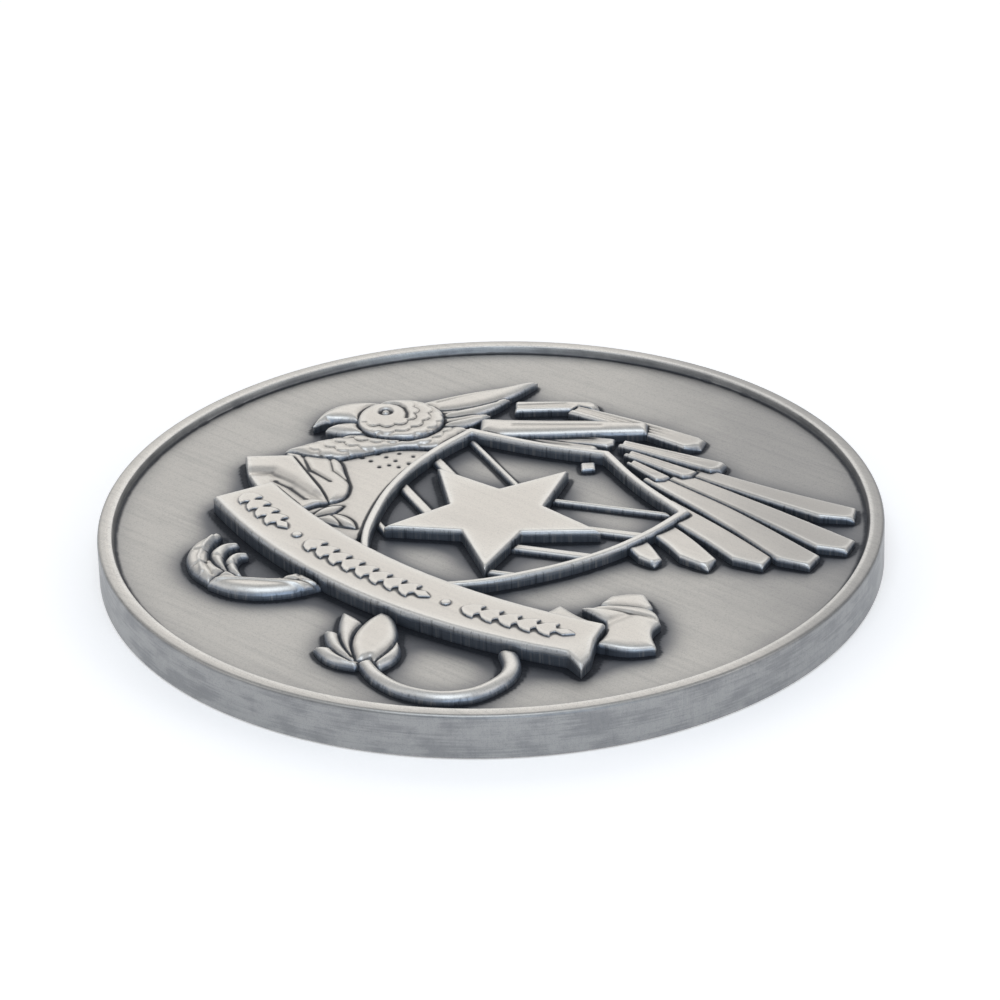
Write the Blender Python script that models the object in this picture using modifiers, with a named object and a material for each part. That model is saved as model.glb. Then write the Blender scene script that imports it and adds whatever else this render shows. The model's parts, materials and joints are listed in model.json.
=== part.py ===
"""A 2 inch challenge coin with a high-relief crest, lying on its reverse.

The frame is the coin's own: the origin is the centre of the face it lies on, +Z points up
through the obverse, and +Y is the top of the crest. Every size below is in millimetres and is
turned into metres where an object is made.
"""

import math

import bmesh
import bpy
from mathutils import Matrix, Vector

MM = 0.001

# ---------------------------------------------------------------- driving dimensions (mm)
COIN_RADIUS = 25.4
COIN_THICKNESS = 3.1
RIM_WIDTH = 0.96
RIM_ROUND = 0.3
RIM_HEIGHT = 0.5          # above the obverse field
REVERSE_RECESS = 0.4      # the reverse field above the face the coin lies on
WALL_DRAFT = 0.08         # how far a rim's inner wall leans back over its height
FIELD_Z = COIN_THICKNESS - RIM_HEIGHT
BODY_SEGMENTS = 128
ROUND_STEPS = 4

SEAT_GAP = 0.03           # under a relief piece
SIDE_GAP = 0.06           # between neighbouring relief pieces
CHAMFER = 0.12            # softened top edge of a relief piece
CURVE_STEPS = 5
CUTTER_REACH = 4.0        # cutters run this far past the field on both sides

# Heights above the obverse field.
BORDER_HEIGHT = 0.85
STAR_HEIGHT = 0.85
CHEVRON_HEIGHT = 0.38
LOZENGE_HEIGHT = 0.35
BAND_HEIGHT = 1.2
FOLD_HEIGHT = 0.85
ARM_HEIGHT = 0.95
COVERT_HEIGHT = 0.78
FEATHER_HEIGHT = 0.62
HEAD_HEIGHT = 1.05
BEAK_HEIGHT = 0.95
CREST_HEIGHT = 0.8
NECK_HEIGHT = 0.85
THIGH_HEIGHT = 0.7
PLUME_HEIGHT = 0.65
BREAST_HEIGHT = 0.45
TALON_HEIGHT = 0.85
SPRIG_HEIGHT = 0.7
ORNAMENT_HEIGHT = 0.14    # above the ribbon band
WREATH_HEIGHT = 0.25      # below the reverse field

SILVER = (0.50, 0.49, 0.47)
RELIEF_SILVER = (0.60, 0.58, 0.55)
DARK_SILVER = (0.33, 0.33, 0.34)

CORNER = 1                # third item of an outline point that is a sharp corner


# ---------------------------------------------------------------- scene, materials, outlines
def clear_scene():
    for obj in list(bpy.data.objects):
        bpy.data.objects.remove(obj)


def new_collection(name):
    collection = bpy.data.collections.new(name)
    bpy.context.scene.collection.children.link(collection)
    return collection


def metal(name, colour, roughness):
    material = bpy.data.materials.new(name)
    material.use_nodes = True
    shader = material.node_tree.nodes["Principled BSDF"]
    shader.inputs["Base Color"].default_value = (*colour, 1.0)
    shader.inputs["Metallic"].default_value = 1.0
    shader.inputs["Roughness"].default_value = roughness
    return material


def placed(points, at, degrees):
    """An outline turned about its own origin and moved to a place on the face."""
    turn = Matrix.Rotation(math.radians(degrees), 2)
    moved = []
    for point in points:
        x, y = turn @ Vector(point[:2]) + Vector(at)
        moved.append((x, y, *point[2:]))
    return moved


def along(base, tip):
    """The length and the direction in degrees from base to tip."""
    run = Vector(tip) - Vector(base)
    return run.length, math.degrees(math.atan2(run.y, run.x))


def on_arc(centre, radius, degrees):
    """A point on an arc about centre, measured from -Y and positive towards +X."""
    angle = math.radians(degrees)
    return centre[0] + radius * math.sin(angle), centre[1] - radius * math.cos(angle)


def arc(centre, radius, start, end, steps):
    return [on_arc(centre, radius, start + (end - start) * i / steps) for i in range(steps + 1)]


# ---------------------------------------------------------------- shapes of the crest
def feather(base, tip, base_width, tip_width, rake, bow):
    """A flight feather: it widens from its base and ends in a raked tip."""
    length, direction = along(base, tip)
    half, end = base_width / 2, tip_width / 2
    outline = [
        (0, -half, CORNER),
        (0.5 * length, -0.5 * (half + end) + bow),
        (length - rake, -end, CORNER),
        (length - 0.12 * rake, -0.15 * end, CORNER),
        (length - 0.4 * rake, end, CORNER),
        (0.5 * length, 0.5 * (half + end) + bow),
        (0, half, CORNER),
    ]
    return placed(outline, base, direction)


def leaf(base, tip, width, bow):
    """A pointed plume or leaf, widest a little past its middle."""
    length, direction = along(base, tip)
    outline = [
        (0, -0.22 * width, CORNER),
        (0.35 * length, -0.5 * width + bow),
        (0.72 * length, -0.38 * width + bow),
        (length, 0, CORNER),
        (0.72 * length, 0.38 * width + bow),
        (0.35 * length, 0.5 * width + bow),
        (0, 0.22 * width, CORNER),
    ]
    return placed(outline, base, direction)


def strip(route, widths):
    """A band along a route of points, with its own width at each and square ends."""
    sides = ([], [])
    last = len(route) - 1
    for i, point in enumerate(route):
        run = Vector(route[min(i + 1, last)]) - Vector(route[max(i - 1, 0)])
        across = Vector((-run.y, run.x)).normalized() * widths[i] / 2
        kind = (CORNER,) if i in (0, last) else ()
        sides[0].append((*(Vector(point) - across), *kind))
        sides[1].append((*(Vector(point) + across), *kind))
    return sides[0] + sides[1][::-1]


def laurel(centre, radius, start, end, leaves, half_width):
    """A laurel branch along an arc: pairs of leaves that point along it, and one leaf at its end."""
    one_leaf = ((0, 0.2), (0.3, 0.75), (0.62, 0.98), (0.95, 1.05), (0.86, 0.55))
    sides = ([], [])
    for side, edge in zip((1, -1), sides):
        for pair in range(leaves):
            for share, offset in one_leaf:
                degrees = start + (end - start) * (pair + share) / (leaves + 1)
                edge.append(on_arc(centre, radius + side * offset * half_width, degrees))
        for share, offset in ((0, 0.2), (0.45, 0.5)):
            degrees = start + (end - start) * (leaves + share) / (leaves + 1)
            edge.append(on_arc(centre, radius + side * offset * half_width, degrees))
    return [*sides[0], on_arc(centre, radius, end), *sides[1][::-1]]


# ---------------------------------------------------------------- solids from outlines
def flat_face(outlines, rounded):
    """A mesh of flat faces inside the outlines. A second outline is a hole in the first."""
    curve = bpy.data.curves.new("outline", "CURVE")
    curve.dimensions = "2D"
    curve.fill_mode = "BOTH"
    curve.resolution_u = CURVE_STEPS
    for outline in outlines:
        spline = curve.splines.new("BEZIER" if rounded else "POLY")
        points = spline.bezier_points if rounded else spline.points
        points.add(len(outline) - 1)
        spline.use_cyclic_u = True
        for point, (x, y, *kind) in zip(points, outline):
            if rounded:
                point.co = (x * MM, y * MM, 0)
                point.handle_left_type = point.handle_right_type = "VECTOR" if kind else "AUTO"
            else:
                point.co = (x * MM, y * MM, 0, 1)
    guide = bpy.data.objects.new("outline", curve)
    bpy.context.scene.collection.objects.link(guide)
    graph = bpy.context.evaluated_depsgraph_get()
    mesh = bpy.data.meshes.new_from_object(guide.evaluated_get(graph))
    bpy.data.objects.remove(guide)
    bpy.data.curves.remove(curve)
    shape = bmesh.new()
    shape.from_mesh(mesh)
    bpy.data.meshes.remove(mesh)
    bmesh.ops.remove_doubles(shape, verts=shape.verts, dist=0.002 * MM)
    bmesh.ops.dissolve_degenerate(shape, edges=shape.edges, dist=0.002 * MM)
    for face in shape.faces:
        if face.normal.z < 0:
            face.normal_flip()
    return shape


def raise_faces(shape, low, high, chamfer):
    """Makes the flat faces a solid between two heights, with a chamfer round its top."""
    bmesh.ops.translate(shape, verts=shape.verts, vec=(0, 0, low * MM))
    made = bmesh.ops.extrude_face_region(shape, geom=shape.faces[:])["geom"]
    top = [item for item in made if isinstance(item, bmesh.types.BMFace)]
    corners = [item for item in made if isinstance(item, bmesh.types.BMVert)]
    bmesh.ops.translate(shape, verts=corners, vec=(0, 0, (high - low - chamfer) * MM))
    bmesh.ops.recalc_face_normals(shape, faces=shape.faces)
    if chamfer:
        bmesh.ops.inset_region(shape, faces=top, thickness=chamfer * MM, depth=chamfer * MM,
                               use_even_offset=True, use_boundary=True)
    bmesh.ops.recalc_face_normals(shape, faces=shape.faces)


def finished(shape, name, collection):
    mesh = bpy.data.meshes.new(name)
    shape.to_mesh(mesh)
    shape.free()
    mesh.shade_smooth()
    mesh.set_sharp_from_angle(angle=math.radians(30))
    obj = bpy.data.objects.new(name, mesh)
    collection.objects.link(obj)
    return obj


def cutter_for(name, outline, rounded=True):
    """A tall prism one side gap larger than an outline, which clears its neighbours from it."""
    shape = flat_face([outline], rounded)
    bmesh.ops.inset_region(shape, faces=shape.faces[:], thickness=SIDE_GAP * MM,
                           use_outset=True, use_boundary=True, use_even_offset=True)
    raise_faces(shape, FIELD_Z - CUTTER_REACH, FIELD_Z + CUTTER_REACH, 0)
    obj = finished(shape, "cutter_" + name, cutters)
    obj.hide_render = True
    obj.display_type = "WIRE"
    return obj


def keep_largest_shell(mesh):
    """Drops the slivers that a cut leaves beyond a neighbour."""
    shape = bmesh.new()
    shape.from_mesh(mesh)
    left, shells = set(shape.verts), []
    while left:
        shell, waiting = set(), [left.pop()]
        while waiting:
            vert = waiting.pop()
            shell.add(vert)
            for edge in vert.link_edges:
                other = edge.other_vert(vert)
                if other in left:
                    left.remove(other)
                    waiting.append(other)
        shells.append(shell)
    largest = max(shells, key=len)
    spare = [vert for shell in shells if shell is not largest for vert in shell]
    bmesh.ops.delete(shape, geom=spare, context="VERTS")
    shape.to_mesh(mesh)
    shape.free()


def clear_of(obj, neighbours):
    """Cuts an object back from the neighbours that lie over it."""
    for neighbour in neighbours:
        cut = obj.modifiers.new("clear_of_" + neighbour.name, "BOOLEAN")
        cut.operation = "DIFFERENCE"
        cut.solver = "MANIFOLD"    # EXACT leaves nothing of some of these pieces
        cut.object = neighbour
    graph = bpy.context.evaluated_depsgraph_get()
    mesh = bpy.data.meshes.new_from_object(obj.evaluated_get(graph))
    obj.modifiers.clear()
    keep_largest_shell(mesh)
    mesh.name = obj.name
    obj.data = mesh


def relief(name, outlines, height, under=(), rounded=True, base=None, chamfer=CHAMFER, material=None):
    """One raised device standing on the obverse field, cut back from what lies over it."""
    low = FIELD_Z + SEAT_GAP if base is None else base
    shape = flat_face(outlines, rounded)
    raise_faces(shape, low, FIELD_Z + height, chamfer)
    obj = finished(shape, name, coin)
    if under:
        clear_of(obj, under)
    obj.data.materials.clear()
    obj.data.materials.append(material or bright)
    return obj


# ---------------------------------------------------------------- the struck blank
def rounding(radius, z, up):
    """The rim's rounded outer edge, at the top (up = 1) or the bottom (up = -1)."""
    points = []
    for i in range(ROUND_STEPS + 1):
        angle = math.pi / 2 * i / ROUND_STEPS
        if up > 0:
            angle = math.pi / 2 - angle
        points.append((radius - RIM_ROUND * (1 - math.cos(angle)),
                       z - up * RIM_ROUND * (1 - math.sin(angle))))
    return points


def build_body():
    """The blank with a raised rim on both faces, turned about Z."""
    inner = COIN_RADIUS - RIM_WIDTH
    profile = [(0, FIELD_Z), (0.5 * inner, FIELD_Z), (inner - WALL_DRAFT, FIELD_Z), (inner, COIN_THICKNESS)]
    profile += rounding(COIN_RADIUS, COIN_THICKNESS, 1)
    profile += rounding(COIN_RADIUS, 0, -1)
    profile += [(inner, 0), (inner - WALL_DRAFT, REVERSE_RECESS), (0.5 * inner, REVERSE_RECESS),
                (0, REVERSE_RECESS)]
    mesh = bpy.data.meshes.new("coin_body")
    mesh.from_pydata([(r * MM, 0, z * MM) for r, z in profile],
                     [(i, i + 1) for i in range(len(profile) - 1)], [])
    body = bpy.data.objects.new("coin_body", mesh)
    coin.objects.link(body)
    turn = body.modifiers.new("turned", "SCREW")
    turn.steps = turn.render_steps = BODY_SEGMENTS
    turn.use_merge_vertices = True
    turn.merge_threshold = 0.002 * MM
    turn.use_smooth_shade = False
    body.data.materials.append(satin)
    return body


# ---------------------------------------------------------------- the shield and its charges
SHIELD_X = 0.65
SHIELD_TOP = 11.2
SHIELD_SHOULDER = (9.45, 8.0)     # half width and height of the upper corners
BORDER_WIDTH = 0.62
CHEVRON_X = 0.1
CHEVRON_RISE = 24                 # slope of a chevron's arms, in degrees
CHEVRONS = ((3.7, 0.45), (0.2, 0.75), (-3.6, 0.75), (-7.4, 0.5))   # height of the point, width
STAR_CENTRE = (0.3, 0.1)
STAR_RADIUS = 7.4
STAR_WAIST = 0.44                 # inner corners as a share of the radius
LOZENGE = [(0, 0.7, CORNER), (0.65, 0, CORNER), (0, -0.7, CORNER), (-0.65, 0, CORNER)]
LOZENGE_AT = (0.3, 9.4)


def shield_outline(inset):
    """A heater shield with a peaked top, drawn in by inset all round."""
    half, shoulder = SHIELD_SHOULDER
    right = [
        (0, SHIELD_TOP - 1.1 * inset, CORNER),
        (0.45 * half, SHIELD_TOP - 1.8 - inset),
        (half - inset, shoulder - 0.9 * inset, CORNER),
        (half - inset, 4.2),
        (0.93 * half - inset, 0.1),
        (0.735 * half - 1.1 * inset, -4.5),
        (0.46 * half - 1.2 * inset, -8.4),
    ]
    foot = [(0, -12.0 + 1.4 * inset, CORNER)]
    left = [(-x, y, *kind) for x, y, *kind in right[1:]][::-1]
    return placed(right + foot + left, (SHIELD_X, 0), 0)


def chevron_arm(point, width, side):
    """One arm of a chevron, from its point on the middle line up past the border."""
    slope = math.radians(CHEVRON_RISE)
    tall = width / 2 / math.cos(slope)
    inner = SIDE_GAP / 2
    outer = SHIELD_SHOULDER[0] + 1
    points = []
    for x, step in ((outer, 1), (inner, 1), (inner, -1), (outer, -1)):
        points.append((side * x, point + x * math.tan(slope) + step * tall, CORNER))
    return placed(points, (CHEVRON_X, 0), 0)


def star_outline():
    points = []
    for i in range(10):
        radius = STAR_RADIUS * (1 if i % 2 == 0 else STAR_WAIST)
        angle = math.pi / 2 + math.pi * i / 5
        points.append((radius * math.cos(angle), radius * math.sin(angle), CORNER))
    return placed(points, STAR_CENTRE, 0)


def build_shield(over):
    """The border ring, the star, the chevrons behind it and a small lozenge in chief."""
    border = [shield_outline(0), shield_outline(BORDER_WIDTH)]
    relief("shield_border", border, BORDER_HEIGHT, over)
    relief("shield_star", [star_outline()], STAR_HEIGHT)
    star = cutter_for("star", star_outline())
    ring = finished_ring(border)
    for number, (point, width) in enumerate(CHEVRONS, 1):
        for word, side in (("left", -1), ("right", 1)):
            arm = chevron_arm(point, width, side)
            relief(f"chevron_{number}_{word}", [arm], CHEVRON_HEIGHT, [ring, star, *over], chamfer=0.06)
    relief("shield_lozenge", [placed(LOZENGE, LOZENGE_AT, 0)], LOZENGE_HEIGHT, chamfer=0.08)


def finished_ring(border):
    """A cutter in the shape of the border, which keeps what is inside it."""
    outer = [(x + 2 * (x - SHIELD_X), y + 2 * (y - 1), *kind) for x, y, *kind in border[0]]
    shape = flat_face([outer, shield_outline(BORDER_WIDTH + SIDE_GAP)], True)
    raise_faces(shape, FIELD_Z - CUTTER_REACH, FIELD_Z + CUTTER_REACH, 0)
    ring = finished(shape, "cutter_border", cutters)
    ring.hide_render = True
    ring.display_type = "WIRE"
    return ring


# ---------------------------------------------------------------- the ribbon
BAND_TOP = ((2.3, 34.5), 43.6, -21.2, 17.8)       # arc centre, radius, both ends in degrees
BAND_BOTTOM = ((1.8, 27.4), 41.2, -24.1, 20.3)
BAND_LEFT_NOTCH = (-13.9, -7.4)
BAND_RIGHT_END = [(16.4, -9.0), (17.3, -10.4), (17.6, -11.7)]
ROW_CENTRE = (1.6, 30.8)          # of the arc that the band's ornament follows
ROW_RADIUS = 42.4
ORNAMENTS = (("left", -20.9, -13.2, 4), ("middle", -10.3, 4.7, 8), ("right", 8.0, 18.7, 5))
BEADS = (("left", -11.8), ("right", 6.3))
ORNAMENT_HALF = 0.8
BEAD_RADIUS = 0.33

LEFT_FOLD = [(-15.4, -2.2, CORNER), (-12.2, -3.8), (-9.4, -5.2, CORNER), (-9.9, -7.6, CORNER),
             (-13.0, -7.6, CORNER), (-15.6, -6.2), (-17.8, -4.3, CORNER)]
RIGHT_FOLD = [(11.3, -6.3, CORNER), (13.2, -6.65), (15.0, -6.6, CORNER), (15.6, -8.0, CORNER),
              (11.2, -8.3, CORNER)]
RIGHT_TAIL = [(12.5, -5.6, CORNER), (14.9, -3.8), (16.4, -3.4), (17.6, -4.1, CORNER), (17.9, -5.3),
              (19.3, -6.6, CORNER), (18.1, -7.9), (16.3, -8.7, CORNER), (15.8, -7.2), (14.9, -6.1, CORNER)]
TAIL_CURL = [(13.1, -4.5, CORNER), (13.0, -3.4, CORNER), (13.8, -2.4), (14.5, -1.9, CORNER),
             (15.9, -2.8, CORNER),
             (15.9, -4.2, CORNER)]


def band_outline():
    centre, radius, start, end = BAND_BOTTOM
    return [*arc(*BAND_TOP, 16), *BAND_RIGHT_END, *arc(centre, radius, end, start, 16), BAND_LEFT_NOTCH]


def build_ribbon():
    """The band, the folds behind its ends and the ornament on it. Returns the band's cutters."""
    relief("ribbon_band", [band_outline()], BAND_HEIGHT, rounded=False)
    band = cutter_for("band", band_outline(), False)
    tail = cutter_for("tail", RIGHT_TAIL)
    relief("ribbon_left_fold", [LEFT_FOLD], FOLD_HEIGHT, [band])
    relief("ribbon_right_tail", [RIGHT_TAIL], FOLD_HEIGHT, [band])
    relief("ribbon_right_fold", [RIGHT_FOLD], FOLD_HEIGHT - 0.1, [band, tail])
    relief("ribbon_tail_curl", [TAIL_CURL], FOLD_HEIGHT - 0.15, [tail])
    seat = FIELD_Z + BAND_HEIGHT + SEAT_GAP
    top = BAND_HEIGHT + ORNAMENT_HEIGHT
    for word, start, end, leaves in ORNAMENTS:
        branch = laurel(ROW_CENTRE, ROW_RADIUS, start, end, leaves, ORNAMENT_HALF)
        relief("ornament_" + word, [branch], top, rounded=False, base=seat, chamfer=0.03)
    for word, angle in BEADS:
        middle = on_arc(ROW_CENTRE, ROW_RADIUS, angle)
        bead = arc(middle, BEAD_RADIUS, 0, 330, 11)
        relief("bead_" + word, [bead], top, rounded=False, base=seat, chamfer=0.06)
    return [band, cutter_for("left_fold", LEFT_FOLD)]


# ---------------------------------------------------------------- the wing
WING_ARM = ([(-8.4, 8.6), (-5.4, 10.9), (-2.4, 13.4), (0.3, 15.5)], [2.3, 2.0, 1.7, 1.3])
WING = (
    # name, base, tip, base width, tip width, rake, bow, height
    ("upper_feather_1", (-5.6, 14.8), (4.7, 16.1), 1.3, 1.9, 1.0, 0.2, FEATHER_HEIGHT),
    ("upper_feather_2", (-8.9, 12.7), (-4.4, 16.3), 1.6, 1.3, 0.6, 0.1, FEATHER_HEIGHT),
    ("covert_1", (0.2, 12.9), (7.8, 14.3), 1.0, 1.7, 0.5, 0.0, COVERT_HEIGHT),
    ("covert_2", (1.4, 12.1), (7.0, 12.3), 0.9, 1.4, 0.5, 0.0, COVERT_HEIGHT),
    ("covert_3", (2.3, 11.3), (5.9, 10.7), 0.7, 1.2, 0.4, 0.0, COVERT_HEIGHT),
    ("small_covert_1", (-6.4, 9.9), (-0.2, 12.8), 1.0, 1.3, 0.4, 0.0, FEATHER_HEIGHT),
    ("small_covert_2", (-6.0, 9.2), (-0.5, 11.6), 0.9, 1.1, 0.4, 0.0, FEATHER_HEIGHT),
    ("primary_1", (6.4, 13.0), (18.9, 14.5), 1.4, 2.4, 2.4, -0.15, FEATHER_HEIGHT),
    ("primary_2", (5.8, 11.7), (21.1, 10.8), 1.4, 2.5, 2.0, 0.1, FEATHER_HEIGHT),
    ("primary_3", (4.6, 10.7), (20.5, 7.7), 1.5, 2.5, 2.2, 0.2, FEATHER_HEIGHT),
    ("primary_4", (7.6, 8.0), (18.2, 5.8), 2.1, 2.2, 2.2, 0.15, FEATHER_HEIGHT),
    ("primary_5", (7.6, 6.0), (15.6, 3.5), 2.0, 1.9, 2.4, 0.2, FEATHER_HEIGHT),
    ("primary_6", (7.6, 3.8), (12.5, 1.75), 1.9, 1.3, 1.3, 0.1, FEATHER_HEIGHT),
)


def build_wing(over):
    """The arm and the feathers that fan out from behind the shield, each under the one before."""
    arm = strip(*WING_ARM)
    relief("wing_arm", [arm], ARM_HEIGHT, over)
    above = [*over, cutter_for("wing_arm", arm)]
    for name, base, tip, base_width, tip_width, rake, bow, height in WING:
        outline = feather(base, tip, base_width, tip_width, rake, bow)
        relief(name, [outline], height, above)
        above.append(cutter_for(name, outline))
    return above


# ---------------------------------------------------------------- the bird
HEAD_AT = (-13.1, 5.9)
HEAD_TILT = 24
HEAD = [(-2.6, 1.2), (-1.2, 2.5), (1.2, 2.5), (2.7, 0.9),
        (2.2, -1.6), (0.2, -2.5), (-1.9, -2.1), (-2.8, -0.6)]
UPPER_BEAK = [(-1.9, 2.2, CORNER), (-4.0, 1.7), (-5.3, 0.3), (-5.6, -1.9, CORNER), (-4.5, -0.8),
              (-2.2, -0.6, CORNER)]
LOWER_BEAK = [(-2.2, -0.9, CORNER), (-3.9, -1.4), (-4.6, -2.3, CORNER), (-3.0, -2.6), (-1.4, -2.1, CORNER)]
CREST = (
    # base, tip, width, bow
    ((-14.2, 7.2), (-10.0, 16.3), 2.0, -0.5),
    ((-12.8, 7.2), (-9.8, 13.2), 1.7, -0.3),
    ((-11.6, 6.6), (-9.3, 10.6), 1.4, -0.2),
)
NECK = [(-14.9, 5.0, CORNER), (-14.5, 2.8), (-15.6, 0.6), (-16.5, -1.9, CORNER), (-13.2, -0.5), (-12.3, 1.0),
        (-10.9, 3.3), (-8.4, 5.2, CORNER), (-8.4, 8.3, CORNER), (-10.8, 7.4)]
THIGH = [(-16.6, -1.7, CORNER), (-13.2, -0.5), (-11.2, -1.7), (-9.6, -3.1), (-9.1, -4.4),
         (-9.9, -5.8, CORNER),
         (-12.6, -5.0), (-14.4, -3.4)]
BREAST = [(-13.3, -1.2, CORNER), (-12.3, 1.0), (-10.9, 3.3), (-7.4, 5.4, CORNER), (-4.6, -8.6, CORNER),
          (-9.6, -8.2, CORNER), (-10.2, -4.6)]
PLUMES = (
    # base, tip, width, bow
    ((-9.7, -7.9), (-8.4, -4.9), 1.2, -0.1),
    ((-8.9, -7.2), (-5.7, -6.6), 1.3, 0.3),
)


def build_bird(over):
    """A crested eagle's head, looking down to the left, with its neck and breast behind the shield."""
    outlines = {name: placed(points, HEAD_AT, HEAD_TILT)
                for name, points in (("head", HEAD), ("upper_beak", UPPER_BEAK), ("lower_beak", LOWER_BEAK))}
    above = list(over)
    relief("eagle_head", [outlines["head"]], HEAD_HEIGHT, above)
    above.append(cutter_for("head", outlines["head"]))
    for name in ("upper_beak", "lower_beak"):
        relief(name, [outlines[name]], BEAK_HEIGHT, above)
        above.append(cutter_for(name, outlines[name]))
    for number, (base, tip, width, bow) in enumerate(CREST, 1):
        plume = leaf(base, tip, width, bow)
        relief(f"crest_plume_{number}", [plume], CREST_HEIGHT, above)
        above.append(cutter_for(f"crest_{number}", plume))
    for number, (base, tip, width, bow) in enumerate(PLUMES, 1):
        plume = leaf(base, tip, width, bow)
        relief(f"thigh_plume_{number}", [plume], PLUME_HEIGHT, above, chamfer=0.08)
        above.append(cutter_for(f"plume_{number}", plume))
    for name, outline, height in (("neck", NECK, NECK_HEIGHT), ("thigh", THIGH, THIGH_HEIGHT),
                                  ("breast", BREAST, BREAST_HEIGHT)):
        relief(name, [outline], height, above)
        above.append(cutter_for(name, outline))


# ---------------------------------------------------------------- below the ribbon
SHANK = ([(-3.2, -13.1), (-4.3, -15.3), (-6.2, -16.8), (-8.2, -17.0)], [2.1, 1.9, 1.8, 1.9])
TOES = (
    ("toe_front", [(-7.8, -17.0), (-10.0, -16.5), (-11.6, -14.9), (-12.0, -12.8)], [1.7, 1.6, 1.3, 0.5]),
    ("toe_middle", [(-8.3, -16.6), (-9.8, -15.4), (-10.5, -14.0), (-10.2, -12.9)], [1.2, 1.1, 0.8, 0.3]),
    ("toe_inner", [(-7.4, -16.3), (-8.6, -15.3), (-9.1, -14.3), (-8.8, -13.5)], [1.2, 0.9, 0.7, 0.3]),
)
SPRIG_STEM = ([(12.3, -12.4), (13.9, -14.0), (14.3, -16.0), (13.6, -18.2), (11.4, -19.7), (8.4, -19.8),
               (6.2, -18.9)],
              [1.2, 1.1, 1.1, 1.1, 1.0, 1.0, 0.9])
SPRIG_LEAVES = (
    # base, tip, width, bow
    ((6.3, -18.9), (3.0, -13.3), 2.7, 0.0),
    ((5.6, -18.7), (1.0, -15.2), 1.9, -0.2),
    ((5.8, -19.1), (1.7, -17.6), 1.6, -0.1),
    ((6.2, -19.4), (2.6, -19.6), 1.4, 0.0),
    ((7.2, -18.9), (6.1, -15.7), 1.3, -0.1),
)


def build_below(over):
    """An eagle's talon and a laurel sprig, both coming out from under the ribbon."""
    shank = strip(*SHANK)
    relief("talon_shank", [shank], TALON_HEIGHT, over)
    above = [*over, cutter_for("shank", shank)]
    for name, route, widths in TOES:
        toe = strip(route, widths)
        relief("talon_" + name, [toe], TALON_HEIGHT - 0.05, above)
        above.append(cutter_for(name, toe))
    stem = strip(*SPRIG_STEM)
    relief("sprig_stem", [stem], SPRIG_HEIGHT, over)
    above = [*over, cutter_for("stem", stem)]
    for number, (base, tip, width, bow) in enumerate(SPRIG_LEAVES, 1):
        blade = leaf(base, tip, width, bow)
        relief(f"sprig_leaf_{number}", [blade], SPRIG_HEIGHT, above)
        above.append(cutter_for(f"sprig_leaf_{number}", blade))


# ---------------------------------------------------------------- the reverse
WREATH_RADIUS = 18.0
WREATH_HALF = 1.9
WREATH_SPAN = (7, 155)            # degrees from the bottom of the coin
WREATH_LEAVES = 14


def build_reverse():
    """Two laurel branches in low relief round an empty middle, inside the reverse rim."""
    for word, side in (("right", 1), ("left", -1)):
        start, end = side * WREATH_SPAN[0], side * WREATH_SPAN[1]
        branch = laurel((0, 0), WREATH_RADIUS, start, end, WREATH_LEAVES, WREATH_HALF)
        shape = flat_face([branch], False)
        raise_faces(shape, REVERSE_RECESS - WREATH_HEIGHT, REVERSE_RECESS - SEAT_GAP, 0)
        obj = finished(shape, "reverse_wreath_" + word, coin)
        obj.data.materials.append(dark)


clear_scene()
coin = new_collection("challenge_coin")
cutters = new_collection("cutters")
satin = metal("antique_silver", SILVER, 0.4)
bright = metal("relief_silver", RELIEF_SILVER, 0.34)
dark = metal("dark_silver", DARK_SILVER, 0.45)

build_body()
ribbon_over = build_ribbon()
build_shield(ribbon_over[:1])
shield_over = [*ribbon_over, cutter_for("shield", shield_outline(0))]
wing_over = build_wing(shield_over)
build_bird(wing_over[:4])
build_below(ribbon_over[:1])
build_reverse()
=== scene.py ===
# Antiqued silver challenge coin: a crested eagle behind a shield, over a ribbon with a laurel row
import json
import math
import bpy
import numpy as np
from mathutils import Matrix, Vector

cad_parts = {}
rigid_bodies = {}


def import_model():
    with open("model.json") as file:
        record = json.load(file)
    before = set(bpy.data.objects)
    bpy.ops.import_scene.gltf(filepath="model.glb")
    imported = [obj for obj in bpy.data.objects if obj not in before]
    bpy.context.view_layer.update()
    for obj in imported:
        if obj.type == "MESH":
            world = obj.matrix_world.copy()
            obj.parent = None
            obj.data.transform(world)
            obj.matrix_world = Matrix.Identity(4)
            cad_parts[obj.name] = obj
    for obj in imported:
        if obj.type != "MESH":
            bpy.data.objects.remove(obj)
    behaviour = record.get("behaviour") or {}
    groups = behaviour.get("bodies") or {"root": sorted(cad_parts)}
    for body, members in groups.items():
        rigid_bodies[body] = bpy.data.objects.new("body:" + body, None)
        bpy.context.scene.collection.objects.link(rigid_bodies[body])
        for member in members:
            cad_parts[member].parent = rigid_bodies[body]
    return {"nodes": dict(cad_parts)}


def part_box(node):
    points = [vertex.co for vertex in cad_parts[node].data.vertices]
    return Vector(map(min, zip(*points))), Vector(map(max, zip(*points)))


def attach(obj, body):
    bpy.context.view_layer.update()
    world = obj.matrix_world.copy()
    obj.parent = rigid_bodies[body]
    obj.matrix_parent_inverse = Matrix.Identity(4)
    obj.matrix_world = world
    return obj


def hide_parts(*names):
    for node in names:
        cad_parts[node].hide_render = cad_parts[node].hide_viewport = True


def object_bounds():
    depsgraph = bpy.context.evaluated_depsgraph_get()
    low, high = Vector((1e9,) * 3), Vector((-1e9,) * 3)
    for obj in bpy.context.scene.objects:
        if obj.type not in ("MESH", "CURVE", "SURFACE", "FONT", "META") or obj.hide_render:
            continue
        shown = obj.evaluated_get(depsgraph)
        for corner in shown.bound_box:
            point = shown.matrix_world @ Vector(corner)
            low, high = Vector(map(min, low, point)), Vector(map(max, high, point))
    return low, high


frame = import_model()
cadLow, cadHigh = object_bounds()
mm = 0.001
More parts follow.
